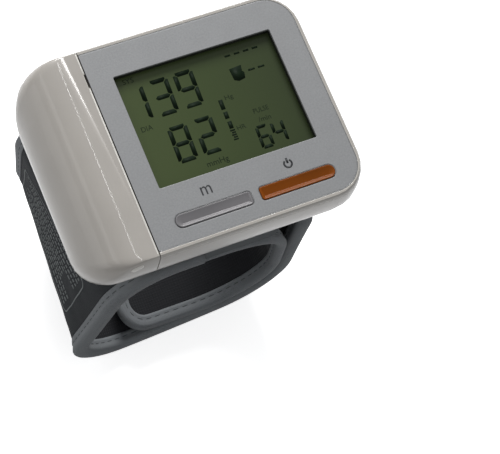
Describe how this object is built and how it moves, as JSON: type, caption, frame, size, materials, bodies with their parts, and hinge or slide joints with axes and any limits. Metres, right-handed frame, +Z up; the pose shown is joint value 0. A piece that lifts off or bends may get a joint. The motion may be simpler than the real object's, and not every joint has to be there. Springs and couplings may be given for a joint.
{
  "type": "wrist blood pressure monitor",
  "caption": "Wrist blood pressure monitor: a rounded housing with a deep-set display and two push keys on a wrap-around wrist cuff with taped edges.",
  "frame": {"origin": "floor point under the middle of the housing, with the closed cuff standing on the floor", "axes": "+Z up, out of the display; +X along the housing, away from the battery end; +Y away from the user"},
  "size_m": [0.0852, 0.0653, 0.0997],
  "materials": {
    "case": "glossy ivory moulding",
    "panel": "satin silver paint on a moulded panel",
    "bezel": "matte black",
    "lcd": "clear display glass over grey-green crystal",
    "reflector": "brushed foil",
    "frame": "plain white moulding",
    "memory": "satin grey",
    "power": "glossy orange",
    "board": "green solder mask",
    "metal": "bright plated",
    "chip": "black package",
    "cell": "plain blue wrap",
    "hose": "grey silicone",
    "cloth": "charcoal woven face",
    "lining": "black brushed lining",
    "tape": "grey woven edge tape"
  },
  "bodies": {
    "monitor": {"lower_case": "case", "upper_case": "case", "face_panel": "panel", "display_bezel": "bezel", "display_glass": "lcd", "display_reflector": "reflector", "display_holder": "frame", "display_connector": "hose", "circuit_board": "board", "memory_switch": "metal", "power_switch": "metal", "processor_chip": "chip", "pressure_sensor": "chip", "buzzer": "chip", "pump_motor": "metal", "pump_head": "chip", "exhaust_valve": "metal", "air_manifold": "frame", "pump_tube": "hose", "valve_tube": "hose", "sensor_tube": "hose", "battery_1": "cell", "battery_2": "cell", "battery_spring_1": "metal", "battery_spring_2": "metal", "bridge_contact": "metal", "negative_contact": "metal", "positive_contact": "metal", "case_screw_1": "metal", "case_screw_2": "metal", "case_screw_3": "metal", "case_screw_4": "metal", "cuff_seat": "tape", "cuff_root_outer": "cloth", "cuff_root_bladder": "hose", "cuff_root_lining": "lining", "cuff_root_near_binding": "tape", "cuff_root_far_binding": "tape", "cuff_tail_root_outer": "cloth", "cuff_tail_root_lining": "lining", "cuff_tail_root_near_binding": "tape", "cuff_tail_root_far_binding": "tape"},
    "battery_cover": {"battery_cover": "case"},
    "memory_button": {"memory_button": "memory"},
    "power_button": {"power_button": "power"},
    "cuff_flap": {"cuff_flap_outer": "cloth", "cuff_flap_bladder": "hose", "cuff_flap_lining": "lining", "cuff_flap_binding": "tape", "cuff_hook_patch": "lining"},
    "cuff_inner_end": {"cuff_tail_outer": "cloth", "cuff_tail_lining": "lining", "cuff_tail_binding": "tape"}
  },
  "joints": [
    {"name": "battery_cover_slide", "type": "slide", "parent": "monitor", "child": "battery_cover", "axis": [-1, 0, 0], "range_m": [0, 0.03]},
    {"name": "memory_button_press", "type": "slide", "parent": "monitor", "child": "memory_button", "axis": [0, 0, -1], "range_m": [0, 0.0005], "stiffness_N_per_m": 2000},
    {"name": "power_button_press", "type": "slide", "parent": "monitor", "child": "power_button", "axis": [0, 0, -1], "range_m": [0, 0.0005], "stiffness_N_per_m": 2000},
    {"name": "cuff_flap_hinge", "type": "hinge", "parent": "monitor", "child": "cuff_flap", "pos_m": [-0.0397, 0, 0.0195], "axis": [0, 1, 0], "range_deg": [0, 100]},
    {"name": "cuff_inner_end_hinge", "type": "hinge", "parent": "monitor", "child": "cuff_inner_end", "pos_m": [0.01675, 0, 0.0646], "axis": [0, -1, 0], "range_deg": [0, 30]}
  ],
  "couplings": [
    {"joint": "cuff_inner_end_hinge", "follows": "cuff_flap_hinge", "ratio": 0.3}
  ]
}
